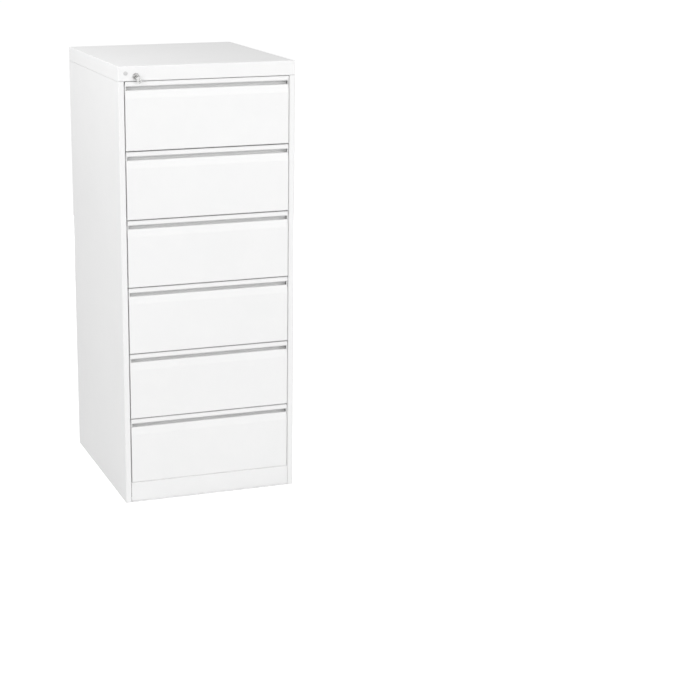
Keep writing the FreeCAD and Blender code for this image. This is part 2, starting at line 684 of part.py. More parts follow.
def lock_bar():
    """Flat bar behind the left front upright, with a slotted head plate that the crank pin lifts."""
    low = UPRIGHT_BASE_Z + BAR_FOOT_GAP
    y = FRONT_UPRIGHT_Y
    plate_low = crank_pin_centre().z - HEAD_PLATE_H / 2
    plate_high = plate_low + HEAD_PLATE_H
    bar = block((-BAR_X - BAR_T, y - BAR_W / 2, low), (-BAR_X, y + BAR_W / 2, plate_high))
    plate_y = y - BAR_W / 2 - HEAD_PLATE_T
    reach = LOCK_X + CRANK_PIN_R
    plate = block((-BAR_X - BAR_T, plate_y, plate_low), (reach, plate_y + HEAD_PLATE_T, plate_high))
    centre = crank_pin_centre()
    gap = CRANK_PIN_R + CRANK_SLOT_GAP
    slot_low = LOCK_X - CRANK_R - gap
    low_corner = (slot_low, plate_y - CUT_PAST, centre.z - gap)
    opening = block(low_corner, (centre.x + gap, plate_y + HEAD_PLATE_T + CUT_PAST, centre.z + gap))
    return joined([bar, plate]).cut(opening)


def interlock_bar():
    low = UPRIGHT_BASE_Z + BAR_FOOT_GAP
    y = FRONT_UPRIGHT_Y
    return block((BAR_X, y - BAR_W / 2, low), (BAR_X + BAR_T, y + BAR_W / 2, UPRIGHT_TOP_Z))


def catch():
    """Catch on the right-hand bar: it reaches through the upright's slot, nose chamfered."""
    low = CATCH_BOTTOM_H
    high = low + CATCH_H
    nose = BAR_X - CATCH_REACH
    points = [(BAR_X, low), (BAR_X, high), (nose, high), (nose, low + CATCH_H / 2)]
    points.append((nose + CATCH_H / 4, low))
    return swept(outline(points, xz), AXIS_Y, CATCH_Y - CATCH_T / 2, CATCH_Y + CATCH_T / 2)


def catches(shape):
    return Part.makeCompound([placed(shape, z=front_bottom(n)) for n in range(1, DRAWERS + 1)])


def panel_screws():
    """Low hexagon heads that hold the back panel to the side panels' rear flanges."""
    head = hexagon(SCREW_R, 0, SCREW_H)
    head.rotate(Vector(0, 0, 0), AXIS_X, -90)
    head = placed(head, y=HALF_D)
    step = (SEAM_Z - 2 * CAP_SKIRT) / (SCREWS_PER_SIDE - 1)
    x = HALF_W - REAR_FLANGE / 2
    heads = []
    for index in range(SCREWS_PER_SIDE):
        for side in (-x, x):
            heads.append(placed(head, side, 0, CAP_SKIRT + index * step))
    return Part.makeCompound(heads)


def save_drawer(number, pieces):
    z = front_bottom(number)
    for name, shape in pieces.items():
        save("drawer_%d_%s" % (number, name), placed(shape, z=z))


def main():
    os.makedirs("parts", exist_ok=True)
    left = side_panel()
    save("left_side_panel", left)
    save("right_side_panel", mirrored(left))
    save("back_panel", back_panel())
    save("top_cap", top_cap())
    save("kick_plate", kick_plate())
    save("base_pan", base_pan())
    save("uprights", uprights())
    save("outer_slide_members", outer_slide_members())
    save("levelling_feet", levelling_feet())
    save("panel_screws", panel_screws())
    save("lock_housing", lock_housing())
    save("blanking_plug", blanking_plug())
    save("lock_plug", lock_plug())
    save("key_bow", key_bow())
    save("lock_bar", lock_bar())
    save("lock_catches", catches(mirrored(catch())))
    save("interlock_bar", interlock_bar())
    save("interlock_latches", catches(catch()))
    right_follower = follower()
    pieces = {
        "front": drawer_front(),
        "tray": tray(),
        "divider": divider(),
        "inner_slides": Part.makeCompound(pair(inner_member())),
        "intermediate_slides": Part.makeCompound(pair(intermediate_member())),
        "left_follower": mirrored(right_follower),
        "right_follower": right_follower,
    }
    for number in range(1, DRAWERS + 1):
        save_drawer(number, pieces)


main()
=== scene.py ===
import json
import math
import bmesh
import bpy
from mathutils import Matrix, Vector


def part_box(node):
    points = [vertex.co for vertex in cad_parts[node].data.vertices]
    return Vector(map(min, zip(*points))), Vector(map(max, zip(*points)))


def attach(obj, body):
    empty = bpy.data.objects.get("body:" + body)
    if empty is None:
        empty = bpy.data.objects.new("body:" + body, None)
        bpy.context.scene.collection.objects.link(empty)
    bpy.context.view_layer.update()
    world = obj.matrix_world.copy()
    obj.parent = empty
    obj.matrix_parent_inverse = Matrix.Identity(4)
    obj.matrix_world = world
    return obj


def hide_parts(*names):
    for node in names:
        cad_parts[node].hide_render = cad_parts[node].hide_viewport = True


MM = 0.001
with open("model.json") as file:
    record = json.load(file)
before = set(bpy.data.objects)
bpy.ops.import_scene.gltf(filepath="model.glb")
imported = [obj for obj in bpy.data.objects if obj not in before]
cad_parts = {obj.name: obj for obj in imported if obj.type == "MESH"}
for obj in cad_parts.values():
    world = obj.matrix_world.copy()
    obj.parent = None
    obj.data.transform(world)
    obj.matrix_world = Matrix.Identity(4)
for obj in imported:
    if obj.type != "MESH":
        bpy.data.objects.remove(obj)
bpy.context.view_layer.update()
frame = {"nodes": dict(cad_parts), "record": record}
NODES = frame["nodes"]
SCENE = bpy.context.scene


# Small helpers for node trees.

def add(tree, kind, label="", **settings):
    """One node. Settings are sockets by name, or properties of the node in lower case."""
    made = tree.nodes.new(kind)
    made.label = label
    for key, value in settings.items():
        if hasattr(made, key):
            setattr(made, key, value)
        else:
            made.inputs[key.replace("_", " ")].default_value = value
    return made


def join(tree, *pairs):
    """Links sockets, given in pairs of source and target."""
    for source, target in pairs:
        tree.links.new(source, target)


def math_node(tree, operation, first, second=None):
    """Result of one sum on numbers or sockets."""
    made = tree.nodes.new("ShaderNodeMath")
    made.operation = operation
    for index, value in enumerate((first, second)):
        if value is None:
            continue
        if isinstance(value, (int, float)):
            made.inputs[index].default_value = value
        else:
            tree.links.new(value, made.inputs[index])
    return made.outputs[0]


def span(tree, value, low, high, to_low, to_high):
    """value taken from low..high to to_low..to_high, held at the ends."""
    made = tree.nodes.new("ShaderNodeMapRange")
    tree.links.new(value, made.inputs["Value"])
    for name, number in (("From Min", low), ("From Max", high), ("To Min", to_low), ("To Max", to_high)):
        made.inputs[name].default_value = number
    return made.outputs["Result"]


def blend_colour(tree, factor, first, second, mode="MIX"):
    """Colour mixed from two, each one a value or a socket."""
    made = tree.nodes.new("ShaderNodeMix")
    made.data_type = "RGBA"
    made.blend_type = mode
    for socket, value in ((made.inputs[0], factor), (made.inputs[6], first), (made.inputs[7], second)):
        if isinstance(value, bpy.types.NodeSocket):
            tree.links.new(value, socket)
        else:
            socket.default_value = value
    return made.outputs[2]


def noise(tree, where, scale, detail=2.0, roughness=0.5):
    """Grey noise that repeats about scale times in a metre."""
    made = add(tree, "ShaderNodeTexNoise", Scale=scale, Detail=detail, Roughness=roughness)
    tree.links.new(where, made.inputs["Vector"])
    return made.outputs["Fac"]


def stretched(tree, where, scale):
    """Coordinates scaled by its own factor along each axis."""
    made = add(tree, "ShaderNodeMapping")
    made.inputs["Scale"].default_value = scale
    tree.links.new(where, made.inputs["Vector"])
    return made.outputs["Vector"]


def bump(tree, height, distance, normal=None, strength=1.0):
    """Normal tilted by a height map of this depth in metres."""
    made = add(tree, "ShaderNodeBump", Strength=strength, Distance=distance)
    tree.links.new(height, made.inputs["Height"])
    if normal is not None:
        tree.links.new(normal, made.inputs["Normal"])
    return made.outputs["Normal"]


def new_group(name, inputs):
    """Empty shader group that gives a colour, a roughness and a normal."""
    group = bpy.data.node_groups.new(name, "ShaderNodeTree")
    for label, kind, value in inputs:
        socket = group.interface.new_socket(label, in_out="INPUT", socket_type=kind)
        socket.default_value = value
    results = {"Colour": "NodeSocketColor", "Roughness": "NodeSocketFloat", "Normal": "NodeSocketVector"}
    for label, kind in results.items():
        group.interface.new_socket(label, in_out="OUTPUT", socket_type=kind)
    return group, group.nodes.new("NodeGroupInput"), group.nodes.new("NodeGroupOutput")


def finish_group(group, leave, colour, roughness, normal):
    """Joins a group's three results to its output."""
    join(group, (colour, leave.inputs["Colour"]), (roughness, leave.inputs["Roughness"]),
         (normal, leave.inputs["Normal"]))
    return group


# Shared surface groups.

def edge_mask(tree, radius):
    """Mask that is 1 on an edge and 0 on the flat, and the normal with its edges rounded."""
    bevel = add(tree, "ShaderNodeBevel", Radius=radius, samples=4)
    plain = tree.nodes.new("ShaderNodeNewGeometry")
    dot = tree.nodes.new("ShaderNodeVectorMath")
    dot.operation = "DOT_PRODUCT"
    join(tree, (bevel.outputs["Normal"], dot.inputs[0]), (plain.outputs["Normal"], dot.inputs[1]))
    return span(tree, dot.outputs["Value"], 0.72, 0.995, 1.0, 0.0), bevel.outputs["Normal"]


def powder_coat_group():
    """Baked powder coat: orange peel, slow tone drift, bends made lighter as a painted highlight, and specks
    of handling marks.
    """
    group, entry, leave = new_group("powder_coat", [
        ("Base", "NodeSocketColor", (0.9, 0.9, 0.9, 1)), ("Gloss", "NodeSocketFloat", 0.36),
        ("Peel", "NodeSocketFloat", 1.0)])
    where = group.nodes.new("ShaderNodeTexCoord").outputs["Object"]
    drift = noise(group, where, 3.1, 2.0)
    cloud = noise(group, where, 21.0, 3.0, 0.6)
    peel = noise(group, where, 620.0, 2.5, 0.55)
    grain = noise(group, where, 2600.0, 1.0)
    wave = noise(group, where, 6.5, 1.0)
    edge, rounded = edge_mask(group, 0.0012)
    slow = span(group, drift, 0.3, 0.7, 0.982, 0.998)
    tone = math_node(group, "ADD", slow, span(group, cloud, 0.3, 0.7, -0.003, 0.003))
    tinted = blend_colour(group, 1.0, entry.outputs["Base"], tone, "MULTIPLY")
    warm = blend_colour(group, span(group, cloud, 0.45, 0.8, 0.0, 0.12), tinted, (0.905, 0.9, 0.885, 1))
    # Painted highlight: colour made lighter on bends and edges, as if they catch the light.
    painted_bend_highlight = blend_colour(group, math_node(group, "MULTIPLY", edge, 0.25), warm, (0.95, 0.95, 0.955, 1))
    specks = noise(group, where, 900.0, 0.0)
    marked = blend_colour(group, span(group, specks, 0.79, 0.82, 0.0, 0.35), painted_bend_highlight, (0.62, 0.61, 0.59, 1))
    rough = math_node(group, "ADD", entry.outputs["Gloss"], span(group, cloud, 0.3, 0.7, -0.02, 0.03))
    rough = math_node(group, "ADD", rough, math_node(group, "MULTIPLY", edge, -0.06))
    flat = bump(group, wave, 0.0005, rounded, 0.25)
    skin = bump(group, peel, 0.00004, flat)
    join(group, (math_node(group, "MULTIPLY", entry.outputs["Peel"], 0.55), skin.node.inputs["Strength"]))
    fine = bump(group, grain, 0.000008, skin, 0.4)
    return finish_group(group, leave, marked, rough, fine)


def plated_group():
    """Bright zinc or nickel on drawn steel: fine streaks along the length, spangle and handling haze."""
    group, entry, leave = new_group("plated_steel", [
        ("Base", "NodeSocketColor", (0.7, 0.71, 0.72, 1)), ("Gloss", "NodeSocketFloat", 0.3),
        ("Streak", "NodeSocketVector", (900.0, 12.0, 900.0))])
    where = group.nodes.new("ShaderNodeTexCoord").outputs["Object"]
    scaled = group.nodes.new("ShaderNodeVectorMath")
    scaled.operation = "MULTIPLY"
    join(group, (where, scaled.inputs[0]), (entry.outputs["Streak"], scaled.inputs[1]))
    streak = noise(group, scaled.outputs["Vector"], 1.0, 3.0, 0.6)
    haze = noise(group, where, 34.0, 4.0, 0.6)
    spangle = add(group, "ShaderNodeTexVoronoi", Scale=330.0)
    join(group, (where, spangle.inputs["Vector"]))
    grey = group.nodes.new("ShaderNodeRGBToBW")
    join(group, (spangle.outputs["Color"], grey.inputs["Color"]))
    drawn = span(group, streak, 0.25, 0.75, 0.9, 1.04)
    tone = math_node(group, "ADD", drawn, span(group, grey.outputs["Val"], 0.0, 1.0, -0.03, 0.03))
    tinted = blend_colour(group, 1.0, entry.outputs["Base"], tone, "MULTIPLY")
    dull = blend_colour(group, span(group, haze, 0.5, 0.8, 0.0, 0.35), tinted, (0.6, 0.605, 0.595, 1))
    edge, rounded = edge_mask(group, 0.0006)
    worn = blend_colour(group, math_node(group, "MULTIPLY", edge, 0.35), dull, (0.86, 0.86, 0.87, 1))
    rough = math_node(group, "ADD", entry.outputs["Gloss"], span(group, haze, 0.3, 0.75, -0.05, 0.12))
    rough = math_node(group, "ADD", rough, span(group, streak, 0.2, 0.8, -0.04, 0.06))
    fine = bump(group, streak, 0.00001, rounded, 0.5)
    return finish_group(group, leave, worn, rough, fine)


def plastic_group():
    """Moulded plastic: spark-eroded grain, slow flow marks and lighter scuffs on edges."""
    group, entry, leave = new_group("moulded_plastic", [
        ("Base", "NodeSocketColor", (0.04, 0.04, 0.04, 1)), ("Gloss", "NodeSocketFloat", 0.45),
        ("Grain", "NodeSocketFloat", 1.0)])
    where = group.nodes.new("ShaderNodeTexCoord").outputs["Object"]
    grain = noise(group, where, 2200.0, 2.0, 0.6)
    flow = noise(group, stretched(group, where, (1.0, 1.0, 2.6)), 55.0, 3.0)
    edge, rounded = edge_mask(group, 0.0005)
    tone = span(group, flow, 0.3, 0.7, 0.88, 1.08)
    tinted = blend_colour(group, 1.0, entry.outputs["Base"], tone, "MULTIPLY")
    scuffed = blend_colour(group, math_node(group, "MULTIPLY", edge, 0.22), tinted, (0.34, 0.34, 0.34, 1))
    rough = math_node(group, "ADD", entry.outputs["Gloss"], span(group, flow, 0.3, 0.7, -0.06, 0.08))
    fine = bump(group, grain, 0.00003, rounded)
    join(group, (math_node(group, "MULTIPLY", entry.outputs["Grain"], 0.5), fine.node.inputs["Strength"]))
    return finish_group(group, leave, scuffed, rough, fine)


# Finishes.

GROUPS = {"powder": powder_coat_group(), "plated": plated_group(), "plastic": plastic_group()}


def material(name, group, metallic=0.0, **inputs):
    """Principled surface fed by one of the shared groups."""
    made = bpy.data.materials.new(name)
    made.use_nodes = True
    tree = made.node_tree
    shader = tree.nodes["Principled BSDF"]
    shader.inputs["Metallic"].default_value = metallic
    source = tree.nodes.new("ShaderNodeGroup")
    source.node_tree = GROUPS[group]
    for key, value in inputs.items():
        source.inputs[key].default_value = value
    join(tree, (source.outputs["Colour"], shader.inputs["Base Color"]),
         (source.outputs["Roughness"], shader.inputs["Roughness"]),
         (source.outputs["Normal"], shader.inputs["Normal"]))
    return made


WHITE = material("white_powder_coat", "powder", Base=(0.86, 0.86, 0.86, 1), Gloss=0.4)
INSIDE = material("white_powder_coat_inside", "powder", Base=(0.80, 0.80, 0.80, 1), Gloss=0.5, Peel=1.3)
STRIP = material("white_strip", "plastic", Base=(0.84, 0.84, 0.84, 1), Gloss=0.6, Grain=1.4)
ZINC = material("zinc_plated_steel", "plated", 1.0, Base=(0.75, 0.76, 0.77, 1), Gloss=0.27)
ZINC_UP = material("zinc_plated_steel_upright", "plated", 1.0, Base=(0.71, 0.72, 0.73, 1), Gloss=0.34,
                   Streak=(900.0, 900.0, 9.0))
NICKEL = material("lock_nickel", "plated", 1.0, Base=(0.66, 0.66, 0.65, 1), Gloss=0.22,
                  Streak=(420.0, 60.0, 420.0))
KEY = material("key_steel", "plated", 1.0, Base=(0.84, 0.84, 0.83, 1), Gloss=0.24,
               Streak=(300.0, 300.0, 300.0))
SPARE = material("plug_plastic", "plastic", Base=(0.66, 0.66, 0.66, 1), Gloss=0.42)
LATCH = material("latch_plastic", "plastic", Base=(0.022, 0.022, 0.023, 1), Gloss=0.38)
PAD = material("foot_plastic", "plastic", Base=(0.05, 0.05, 0.05, 1), Gloss=0.6, Grain=1.6)
RIVET = material("rivet_aluminium", "plated", 1.0, Base=(0.76, 0.77, 0.78, 1), Gloss=0.28,
                 Streak=(260.0, 260.0, 260.0))
# Dark nickel for the painted shadow of the keyway round the key's blade.
KEYWAY_SHADOW = material("painted_keyway_shadow", "plated", 1.0, Base=(0.16, 0.16, 0.155, 1), Gloss=0.45,
                  Streak=(500.0, 90.0, 500.0))

FINISH = {
    "white_powder_coat": WHITE, "zinc_plated_steel": ZINC, "lock_nickel": NICKEL, "key_steel": KEY,
    "plug_plastic": SPARE, "latch_plastic": LATCH, "foot_plastic": PAD,
}
INNER_ENDS = ("_tray", "_divider", "follower")
UPRIGHT_NODES = ("uprights", "lock_bar", "interlock_bar", "lock_catches")


def finish_nodes():
    """Each solid takes the finish of its slot. Uprights and trays have a version of their own."""
    slots = {part["node"]: part["material_slot"] for part in frame["record"]["subparts"]}
    for name, obj in NODES.items():
        chosen = FINISH[slots[name]]
        if name.endswith(INNER_ENDS):
            chosen = INSIDE
        if name in UPRIGHT_NODES:
            chosen = ZINC_UP
        obj.data.materials.clear()
        obj.data.materials.append(chosen)


DRAWERS = range(1, 7)

# Places on the solids that the added pieces use, in millimetres.
TRAY_SIDE = 239.8
TRAY_SHEET = 0.8
SLIDE_FRONT = -279.5
SLIDE_MID_H = 78.0
INNER_WEB = 241.2
CHANNEL_MOUTH = 249.0
FRONT_HALF = 249.0
ROW_MIDDLE = 119.3
POST_PLANE = -310.0
BACK_PLANE = 310.0

# The lock and the spare hole: middles in X and Z, faces in Y, and the key's lean.
LOCK_AT = (-216.5, 1291.5)
LOCK_FACE = POST_PLANE - 2.5
SPARE_AT = (-247.0, 1301.0)
SPARE_FACE = POST_PLANE - 0.8
KEY_ANGLE = math.radians(-57)

# Hexagons stand with a corner along X, so they reach less far the other way.
HEX_FLAT = math.cos(math.radians(30))
BACK_SCREW_R = 4.0
BACK_SCREW_ROWS = 4
FOOT_R = 16.0

# Rows of rivets in a tray's side and of screws in its slide member, in millimetres.
RIVET_FIRST_Y = -262.0
RIVET_STEP_Y = 170.0
RIVET_STEP_Z = 18.0
RIVETS = 4
SLIDE_SCREW_FIRST_Y = -215.0
SLIDE_SCREW_STEP = 115.0
SLIDE_SCREWS = 5


def front_bottom(number):
    """Height of the lower edge of a drawer's front, in millimetres."""
    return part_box("drawer_%d_front" % number)[0][2] / MM


# Meshes of the pieces, made in millimetres.

def round_turns(segments):
    """Angles of a full turn in equal steps."""
    return [2 * math.pi * step / segments for step in range(segments)]


def turned(bm, profile, centre, axis, segments=24):
    """Closed solid turned about axis. profile runs (radius, height) from one pole to the other."""
    axis = Vector(axis).normalized()
    side = axis.orthogonal().normalized()
    other = axis.cross(side)
    rings = []
    for radius, height in profile:
        middle = Vector(centre) + axis * height
        if radius == 0:
            rings.append([bm.verts.new(middle)])
            continue
        ways = [side * math.cos(t) + other * math.sin(t) for t in round_turns(segments)]
        rings.append([bm.verts.new(middle + way * radius) for way in ways])
    for low, high in zip(rings, rings[1:]):
        for step in range(segments):
            after = (step + 1) % segments
            corners = [low[step % len(low)], low[after % len(low)]]
            corners += [high[after % len(high)], high[step % len(high)]]
            bm.faces.new(list(dict.fromkeys(corners)))


def ring(bm, profile, centre, segments):
    """Closed ring about a line along Y. profile runs (radius, depth) round the section."""
    x, y, z = centre
    turns = round_turns(segments)
    rows = []
    for radius, depth in profile:
        spots = [(x + radius * math.cos(t), y + depth, z + radius * math.sin(t)) for t in turns]
        rows.append([bm.verts.new(spot) for spot in spots])
    made = []
    for index, low in enumerate(rows):
        high = rows[(index + 1) % len(rows)]
        for step in range(segments):
            after = (step + 1) % segments
            made.append(bm.faces.new((low[step], low[after], high[after], high[step])))
    bmesh.ops.recalc_face_normals(bm, faces=made)


def cut_plate(bm, outline, low, high, place, bevel):
    """Closed plate of an outline, from low to high along the third way, with its sharp edges rounded."""
    made = bmesh.new()
    ends = [[made.verts.new(place(a, b, depth)) for a, b in outline] for depth in (low, high)]
    made.faces.new(ends[0])
    made.faces.new(list(reversed(ends[1])))
    for index in range(len(outline)):
        after = (index + 1) % len(outline)
        made.faces.new([ends[0][after], ends[0][index], ends[1][index], ends[1][after]])
    bmesh.ops.recalc_face_normals(made, faces=made.faces)
    sharp = [edge for edge in made.edges if edge.calc_face_angle(0.0) > math.radians(30)]
    bmesh.ops.bevel(made, geom=sharp, offset=bevel, segments=2, affect="EDGES", clamp_overlap=True)
    take_in(bm, made)


def take_in(bm, made):
    """Adds another working mesh to this one and frees it."""
    data = bpy.data.meshes.new("part")
    made.to_mesh(data)
    made.free()
    bm.from_mesh(data)
    bpy.data.meshes.remove(data)


def across_x(a, b, depth):
    """Place on a plate that lies across X: a is Y and b is Z."""
    return Vector((depth, a, b))


def across_y(a, b, depth):
    """Place on a plate that lies across Y: a is X and b is Z."""
    return Vector((a, depth, b))


def mirrored_too(bm):
    """Adds the copy on the other side of the cabinet."""
    made = bpy.data.meshes.new("half")
    bm.to_mesh(made)
    made.transform(Matrix.Scale(-1, 4, (1, 0, 0)))
    made.flip_normals()
    bm.from_mesh(made)
    bpy.data.meshes.remove(made)


def rounded_box(width, height, radius):
    """Outline of a box about its middle with rounded corners."""
    steps = 4
    points = []
    for turn, (x, y) in enumerate(((1, 1), (-1, 1), (-1, -1), (1, -1))):
        for step in range(steps + 1):
            angle = math.pi / 2 * (turn + step / steps)
            points.append((x * (width / 2 - radius) + radius * math.cos(angle),
                           y * (height / 2 - radius) + radius * math.sin(angle)))
    return points


def finished(name, data, body, finish):
    """Object of a finished mesh in metres: smooth but for its sharp edges, riding on its body."""
    data.materials.clear()
    data.materials.append(finish)
    data.shade_smooth()
    data.set_sharp_from_angle(angle=math.radians(35))
    made = bpy.data.objects.new(name, data)
    SCENE.collection.objects.link(made)
    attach(made, body)
    return made


def mesh_of(name, bm, lift=0.0):
    """Mesh data in metres of a working mesh in millimetres."""
    bmesh.ops.recalc_face_normals(bm, faces=bm.faces)
    data = bpy.data.meshes.new(name)
    bm.to_mesh(data)
    bm.free()
    data.transform(Matrix.Scale(MM, 4) @ Matrix.Translation((0, 0, lift)))
    return data


def on_each_drawer(name, build, finish, carrier="drawer_%d"):
    """The same piece on every drawer, at its own height."""
    for number in DRAWERS:
        bm = bmesh.new()
        build(bm)
        title = "drawer_%d_%s" % (number, name)
        finished(title, mesh_of(title, bm, front_bottom(number)), carrier % number, finish)


# Geometry Nodes: what repeats.

def new_tree(name, inputs):
    """Empty tree with named inputs. keys gives each input's identifier."""
    tree = bpy.data.node_groups.new(name, "GeometryNodeTree")
    tree.interface.new_socket("Geometry", in_out="INPUT", socket_type="NodeSocketGeometry")
    keys = {}
    for label, kind, value in inputs:
        socket = tree.interface.new_socket(label, in_out="INPUT", socket_type=kind)
        if value is not None:
            socket.default_value = value
        keys[label] = socket.identifier
    tree.interface.new_socket("Geometry", in_out="OUTPUT", socket_type="NodeSocketGeometry")
    return tree, keys, tree.nodes.new("NodeGroupInput"), tree.nodes.new("NodeGroupOutput")


def heads_in_rows():
    """Sets the given head in columns and rows, each one turned about its own axis at random."""
    tree, keys, entry, leave = new_tree("heads_in_rows", [
        ("First", "NodeSocketVector", (0, 0, 0)), ("Columns", "NodeSocketInt", 2),
        ("Column Step", "NodeSocketVector", (1, 0, 0)), ("Rows", "NodeSocketInt", 2),
        ("Row Step", "NodeSocketVector", (0, 0, 1)), ("Aim", "NodeSocketVector", (0, 0, 0)),
        ("Turn", "NodeSocketFloat", math.pi), ("Seed", "NodeSocketInt", 7),
        ("Finish", "NodeSocketMaterial", None)])
    given = entry.outputs
    columns = tree.nodes.new("GeometryNodeMeshLine")
    rows = tree.nodes.new("GeometryNodeMeshLine")
    grid = tree.nodes.new("GeometryNodeInstanceOnPoints")
    real = tree.nodes.new("GeometryNodeRealizeInstances")
    spin = tree.nodes.new("FunctionNodeRandomValue")
    about = tree.nodes.new("ShaderNodeCombineXYZ")
    spun = tree.nodes.new("FunctionNodeEulerToRotation")
    aimed = tree.nodes.new("FunctionNodeEulerToRotation")
    both = tree.nodes.new("FunctionNodeRotateRotation")
    both.rotation_space = "LOCAL"
    heads = tree.nodes.new("GeometryNodeInstanceOnPoints")
    join(tree, (given["Columns"], columns.inputs["Count"]),
         (given["First"], columns.inputs["Start Location"]),
         (given["Column Step"], columns.inputs["Offset"]),
         (given["Rows"], rows.inputs["Count"]),
         (given["Row Step"], rows.inputs["Offset"]),
         (columns.outputs["Mesh"], grid.inputs["Points"]),
         (rows.outputs["Mesh"], grid.inputs["Instance"]),
         (grid.outputs["Instances"], real.inputs["Geometry"]),
         (given["Turn"], spin.inputs[3]),
         (given["Seed"], spin.inputs["Seed"]),
         (spin.outputs[1], about.inputs["Z"]),
         (about.outputs["Vector"], spun.inputs["Euler"]),
         (given["Aim"], aimed.inputs["Euler"]),
         (aimed.outputs["Rotation"], both.inputs["Rotation"]),
         (spun.outputs["Rotation"], both.inputs["Rotate By"]),
         (real.outputs["Geometry"], heads.inputs["Points"]),
         (given["Geometry"], heads.inputs["Instance"]),
         (both.outputs["Rotation"], heads.inputs["Rotation"]))
    made_real(tree, heads, entry, leave)
    return tree, keys


def made_real(tree, stand, entry, leave):
    """Ends a tree: what stand has set out becomes a real mesh with the given finish."""
    whole = tree.nodes.new("GeometryNodeRealizeInstances")
    paint = tree.nodes.new("GeometryNodeSetMaterial")
    join(tree, (stand.outputs["Instances"], whole.inputs["Geometry"]),
         (whole.outputs["Geometry"], paint.inputs["Geometry"]),
         (entry.outputs["Finish"], paint.inputs["Material"]),
         (paint.outputs["Geometry"], leave.inputs["Geometry"]))


def threads():
    """Screw threads that stand at the points of the mesh that it is given."""
    tree, keys, entry, leave = new_tree("threads", [
        ("Radius", "NodeSocketFloat", 0.004), ("Pitch", "NodeSocketFloat", 0.00125),
        ("Turns", "NodeSocketFloat", 20.0), ("Depth", "NodeSocketFloat", 0.0005),
        ("Finish", "NodeSocketMaterial", None)])
    given = entry.outputs
    helix = add(tree, "GeometryNodeCurveSpiral", Resolution=14)
    crest = add(tree, "GeometryNodeCurvePrimitiveCircle", Resolution=3)
    skin = tree.nodes.new("GeometryNodeCurveToMesh")
    skin.inputs["Fill Caps"].default_value = True
    stand = tree.nodes.new("GeometryNodeInstanceOnPoints")
    height = math_node(tree, "MULTIPLY", given["Pitch"], given["Turns"])
    join(tree, (given["Turns"], helix.inputs["Rotations"]), (given["Radius"], helix.inputs["Start Radius"]),
         (given["Radius"], helix.inputs["End Radius"]), (height, helix.inputs["Height"]),
         (given["Depth"], crest.inputs["Radius"]), (helix.outputs["Curve"], skin.inputs["Curve"]),
         (crest.outputs["Curve"], skin.inputs["Profile Curve"]), (given["Geometry"], stand.inputs["Points"]),
         (skin.outputs["Mesh"], stand.inputs["Instance"]))
    made_real(tree, stand, entry, leave)
    return tree, keys


def grown(bm, tree, keys, **values):
    """Plain mesh in metres of what a tree makes from a working mesh in metres."""
    data = bpy.data.meshes.new("seed")
    bm.to_mesh(data)
    host = bpy.data.objects.new("seed", data)
    SCENE.collection.objects.link(host)
    nodes = host.modifiers.new("nodes", "NODES")
    nodes.node_group = tree
    for label, value in values.items():
        nodes[keys[label.replace("_", " ")]] = value
    graph = bpy.context.evaluated_depsgraph_get()
    result = bpy.data.meshes.new_from_object(host.evaluated_get(graph), depsgraph=graph)
    host.modifiers.remove(nodes)
    bpy.data.objects.remove(host)
    bpy.data.meshes.remove(data)
    return result


def merged(name, meshes):
    """One mesh of several, which are used up."""
    bm = bmesh.new()
    for data in meshes:
        bm.from_mesh(data)
        bpy.data.meshes.remove(data)
    whole = bpy.data.meshes.new(name)
    bm.to_mesh(whole)
    bm.free()
    return whole


# Fasteners.

def cross_head(radius, height, recess):
    """Pan head with a cross recess and a washer under it, standing on its seat, in metres."""
    bm = bmesh.new()
    washer = 0.35
    sides = 24
    rim = [(radius, 0), (radius, washer), (0.86 * radius, washer), (0.82 * radius, 0.55 * height)]
    rim += [(0.68 * radius, 0.88 * height), (0.5 * radius, height)]
    turns = round_turns(sides)
    rings = [[bm.verts.new((r * math.cos(t), r * math.sin(t), z)) for t in turns] for r, z in rim]
    for low, high in zip(rings, rings[1:]):
        for step in range(sides):
            after = (step + 1) % sides
            bm.faces.new((low[step], low[after], high[after], high[step]))
    bm.faces.new(list(reversed(rings[0])))
    arm = 0.36 * radius
    half = 0.09 * radius
    cross = [(arm, half), (half, half), (half, arm), (-half, arm), (-half, half), (-arm, half),
             (-arm, -half), (-half, -half), (-half, -arm), (half, -arm), (half, -half), (arm, -half)]
    top = [bm.verts.new((x, y, height)) for x, y in cross]
    low = [bm.verts.new((0.7 * x, 0.7 * y, height - recess)) for x, y in cross]
    for index in range(len(cross)):
        after = (index + 1) % len(cross)
        bm.faces.new((top[index], top[after], low[after], low[index]))
    bm.faces.new(low)
    loops = [edge for edge in bm.edges if edge.is_boundary]
    bmesh.ops.triangle_fill(bm, edges=loops, use_beauty=True)
    return in_metres(bm)


def rivet_head(radius, height):
    """Domed rivet head with the broken stem in its middle, in metres."""
    bm = bmesh.new()
    profile = [(0, 0), (radius, 0), (radius, 0.3 * height), (0.82 * radius, 0.75 * height)]
    profile += [(0.5 * radius, height), (0.3 * radius, height), (0.28 * radius, 0.6 * height)]
    profile += [(0, 0.55 * height)]
    turned(bm, profile, (0, 0, 0), (0, 0, 1), 16)
    return in_metres(bm)


def in_metres(bm):
    """The working mesh, its normals made outward, from millimetres to metres."""
    bmesh.ops.recalc_face_normals(bm, faces=bm.faces)
    bmesh.ops.scale(bm, vec=(MM, MM, MM), verts=bm.verts)
    return bm


